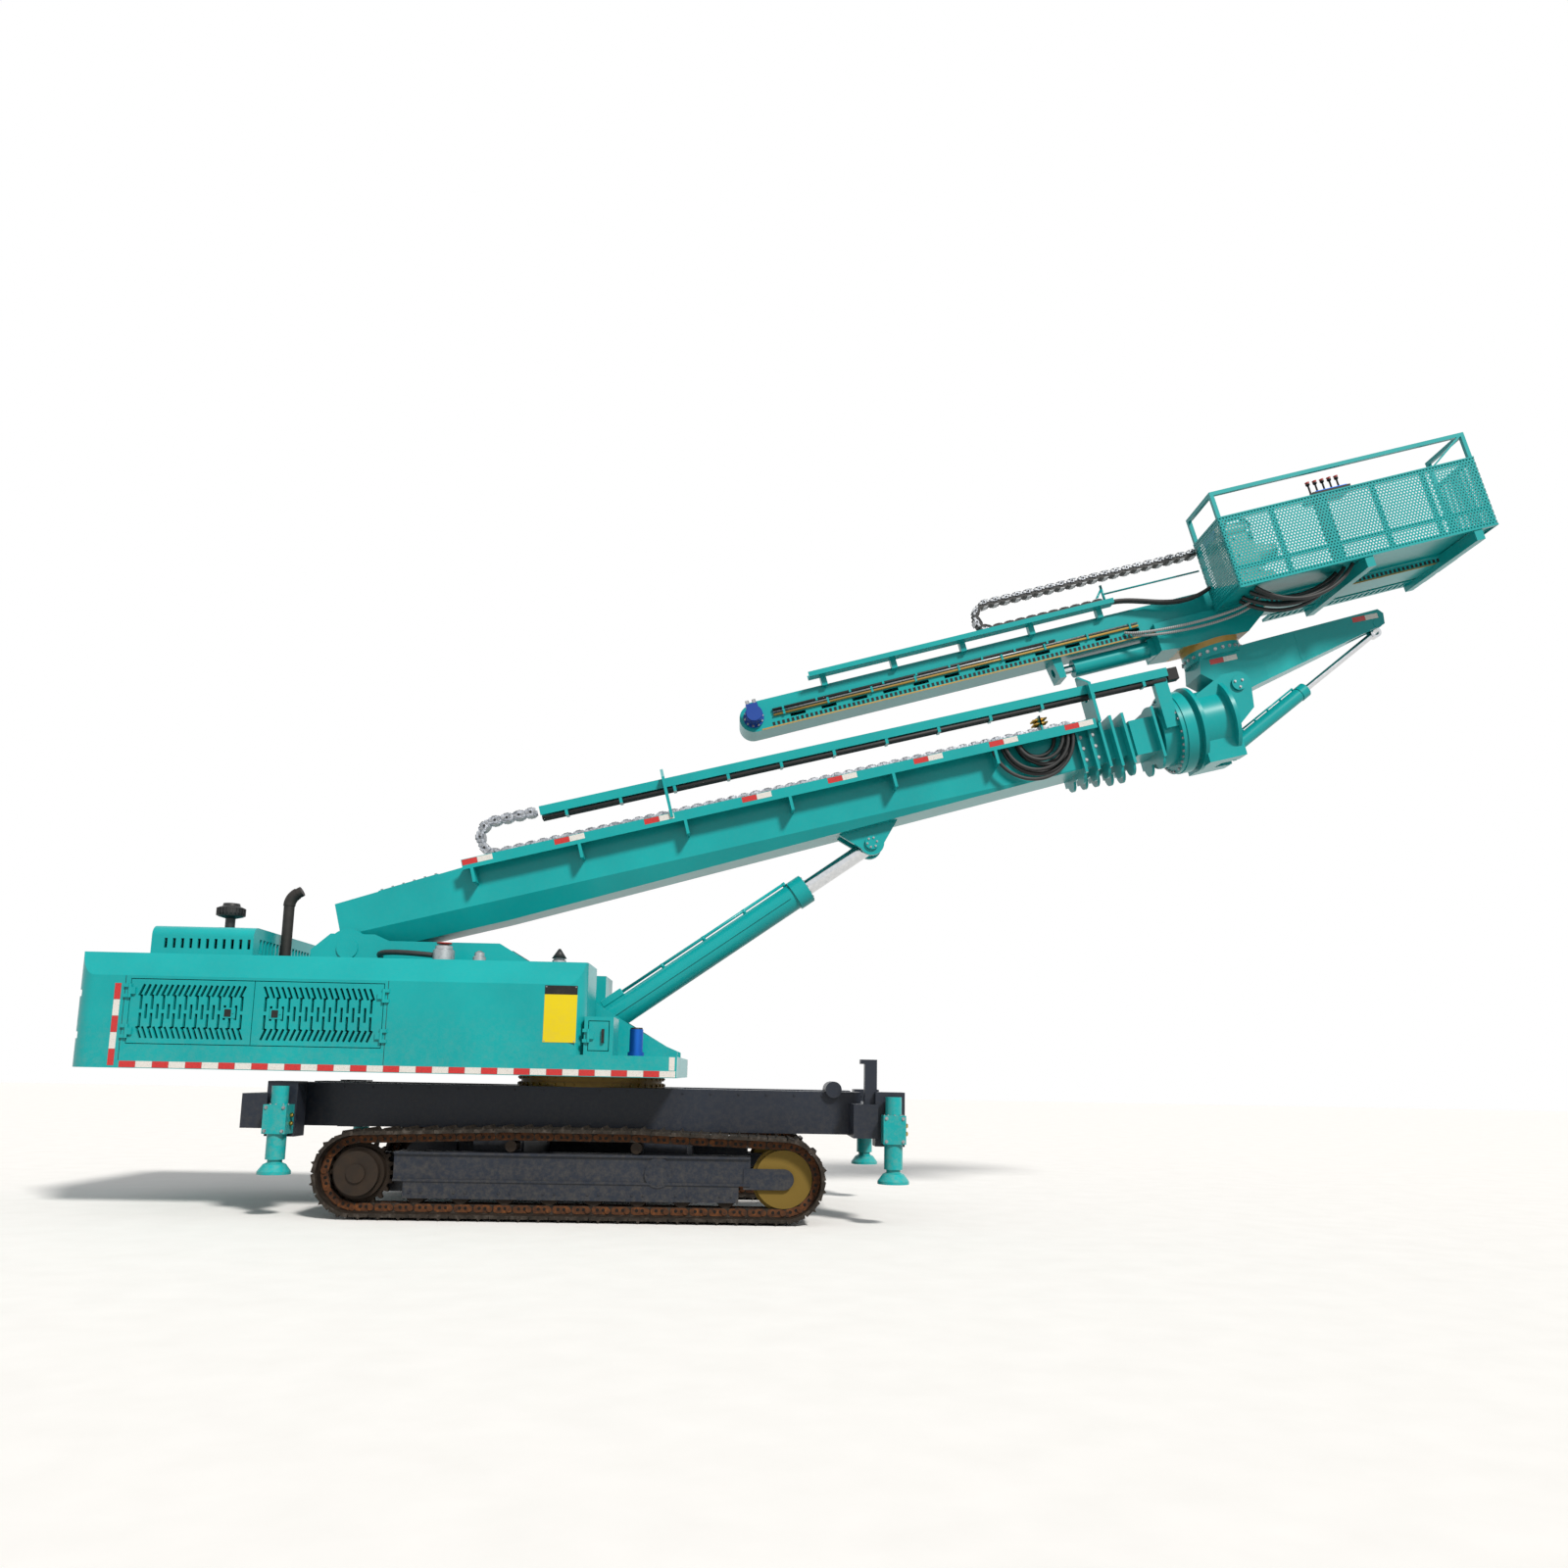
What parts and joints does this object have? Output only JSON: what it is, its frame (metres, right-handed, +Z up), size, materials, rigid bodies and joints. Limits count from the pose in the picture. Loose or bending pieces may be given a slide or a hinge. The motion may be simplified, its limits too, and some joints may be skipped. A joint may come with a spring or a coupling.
{
  "type": "anchor drilling rig on tracks",
  "caption": "Tracked anchor drilling rig with slewing body, telescopic boom, rotary head and a tilting drill mast that carries a work basket.",
  "frame": {"origin": "on the ground under the slew axis, midway between the tracks", "axes": "+X forwards along the boom, +Y to the machine's left, +Z up"},
  "size_m": [13.4494, 2.74, 7.9386],
  "materials": {
    "teal_paint": "gloss",
    "dark_paint": "satin",
    "ring_steel": "satin",
    "track_steel": "rough",
    "wheel_iron": "rough",
    "engine_iron": "matte",
    "black_plastic": "matte",
    "black_metal": "satin",
    "fitting_metal": "satin",
    "chain_steel": "satin",
    "hose_rubber": "satin",
    "chrome_rod": "polished",
    "motor_paint": "gloss",
    "grey_paint": "satin"
  },
  "bodies": {
    "undercarriage": {"chassis_frame": "dark_paint", "slew_ring": "ring_steel", "jack_bodies": "teal_paint", "track_right": "track_steel", "track_left": "track_steel", "track_frame_right": "dark_paint", "track_frame_left": "dark_paint", "track_wheels_right": "wheel_iron", "track_wheels_left": "wheel_iron"},
    "jack_front_right": {"jack_leg_front_right": "teal_paint"},
    "jack_front_left": {"jack_leg_front_left": "teal_paint"},
    "jack_rear_right": {"jack_leg_rear_right": "teal_paint"},
    "jack_rear_left": {"jack_leg_rear_left": "teal_paint"},
    "superstructure": {"deck_frame": "teal_paint", "tower": "teal_paint", "counterweight": "teal_paint", "engine_housing": "teal_paint", "engine_block": "engine_iron", "engine_hood": "teal_paint", "pre_cleaner": "black_plastic", "exhaust": "black_metal", "tank_right": "teal_paint", "tank_left": "teal_paint", "tank_fittings": "fitting_metal", "tool_box": "teal_paint"},
    "door_rear_right": {"door_rear_right": "teal_paint"},
    "door_front_right": {"door_front_right": "teal_paint"},
    "door_rear_left": {"door_rear_left": "teal_paint"},
    "door_front_left": {"door_front_left": "teal_paint"},
    "tool_door": {"tool_box_door": "teal_paint"},
    "boom": {"boom_base": "teal_paint", "boom_chain": "chain_steel", "boom_hoses": "hose_rubber"},
    "luff_barrel": {"luff_barrel": "teal_paint"},
    "luff_rod": {"luff_rod": "chrome_rod"},
    "boom_inner": {"boom_inner": "teal_paint", "boom_rail": "teal_paint"},
    "head": {"rotary_head": "teal_paint"},
    "arm": {"arm": "teal_paint"},
    "tilt_barrel": {"tilt_barrel": "teal_paint"},
    "tilt_rod": {"tilt_rod": "chrome_rod"},
    "cradle": {"cradle": "teal_paint", "slide_barrel": "teal_paint"},
    "mast": {"mast_beam": "teal_paint", "mast_tray": "teal_paint", "mast_chain": "chain_steel", "feed_motor": "motor_paint", "slide_rod": "chrome_rod", "basket_frame": "teal_paint", "basket_panels": "teal_paint", "basket_hoses": "hose_rubber", "control_stand": "black_metal"},
    "drill_head": {"drill_head": "grey_paint"}
  },
  "joints": [
    {"name": "jack_front_right_extend", "type": "slide", "parent": "undercarriage", "child": "jack_front_right", "axis": [0, 0, -1], "range_m": [0, 0.45]},
    {"name": "jack_front_left_extend", "type": "slide", "parent": "undercarriage", "child": "jack_front_left", "axis": [0, 0, -1], "range_m": [0, 0.45]},
    {"name": "jack_rear_right_extend", "type": "slide", "parent": "undercarriage", "child": "jack_rear_right", "axis": [0, 0, -1], "range_m": [0, 0.45]},
    {"name": "jack_rear_left_extend", "type": "slide", "parent": "undercarriage", "child": "jack_rear_left", "axis": [0, 0, -1], "range_m": [0, 0.45]},
    {"name": "slew", "type": "hinge", "parent": "undercarriage", "child": "superstructure", "pos_m": [0, 0, 1.2495], "axis": [0, 0, 1], "range_deg": [-120, 120]},
    {"name": "door_rear_right_open", "type": "hinge", "parent": "superstructure", "child": "door_rear_right", "pos_m": [-3.9465, -1.255, 1.75], "axis": [0, 0, -1], "range_deg": [0, 100]},
    {"name": "door_front_right_open", "type": "hinge", "parent": "superstructure", "child": "door_front_right", "pos_m": [-1.7335, -1.255, 1.75], "axis": [0, 0, 1], "range_deg": [0, 100]},
    {"name": "door_rear_left_open", "type": "hinge", "parent": "superstructure", "child": "door_rear_left", "pos_m": [-3.9465, 1.255, 1.75], "axis": [0, 0, 1], "range_deg": [0, 100]},
    {"name": "door_front_left_open", "type": "hinge", "parent": "superstructure", "child": "door_front_left", "pos_m": [-1.7335, 1.255, 1.75], "axis": [0, 0, -1], "range_deg": [0, 100]},
    {"name": "tool_door_open", "type": "hinge", "parent": "superstructure", "child": "tool_door", "pos_m": [0.0885, -1.255, 1.61], "axis": [0, 0, -1], "range_deg": [0, 110]},
    {"name": "luff", "type": "hinge", "parent": "superstructure", "child": "boom", "pos_m": [-2.35, 0, 2.42], "axis": [0, -1, 0], "range_deg": [-2, 50]},
    {"name": "luff_barrel_tilt", "type": "hinge", "parent": "superstructure", "child": "luff_barrel", "pos_m": [-0.23, 0, 1.54], "axis": [0, -1, 0], "range_deg": [-5, 60]},
    {"name": "luff_rod_extend", "type": "slide", "parent": "luff_barrel", "child": "luff_rod", "axis": [0.8163, 0, 0.5776], "range_m": [-0.15, 2.1]},
    {"name": "telescope", "type": "slide", "parent": "boom", "child": "boom_inner", "axis": [0.9681, 0, 0.2504], "range_m": [0, 3.5]},
    {"name": "head_roll", "type": "hinge", "parent": "boom_inner", "child": "head", "pos_m": [5.88969, 0, 4.90728], "axis": [0.9681, 0, 0.2504], "range_deg": [-90, 90]},
    {"name": "arm_pitch", "type": "hinge", "parent": "head", "child": "arm", "pos_m": [6.51757, 0, 5.39502], "axis": [0, 1, 0], "range_deg": [0, 75]},
    {"name": "tilt_barrel_turn", "type": "hinge", "parent": "head", "child": "tilt_barrel", "pos_m": [6.51431, 0, 4.74862], "axis": [0, 1, 0], "range_deg": [-5, 90]},
    {"name": "tilt_rod_extend", "type": "slide", "parent": "tilt_barrel", "child": "tilt_rod", "axis": [0.7698, 0, 0.6383], "range_m": [-1, 0.05]},
    {"name": "mast_swing", "type": "hinge", "parent": "arm", "child": "cradle", "pos_m": [6.33972, 0, 5.82653], "axis": [0.2756, 0, -0.9613], "range_deg": [-20, 20]},
    {"name": "mast_slide", "type": "slide", "parent": "cradle", "child": "mast", "axis": [-0.9613, 0, -0.2756], "range_m": [0, 0.6]},
    {"name": "feed", "type": "slide", "parent": "mast", "child": "drill_head", "axis": [0.9613, 0, 0.2756], "range_m": [-4.2, 1.6]}
  ],
  "couplings": [
    {"joint": "luff_barrel_tilt", "follows": "luff", "ratio": 1.0499},
    {"joint": "luff_rod_extend", "follows": "luff", "m_per_rad": 2.2119},
    {"joint": "tilt_barrel_turn", "follows": "arm_pitch", "ratio": 0.98048},
    {"joint": "tilt_rod_extend", "follows": "arm_pitch", "m_per_rad": -0.60036}
  ]
}
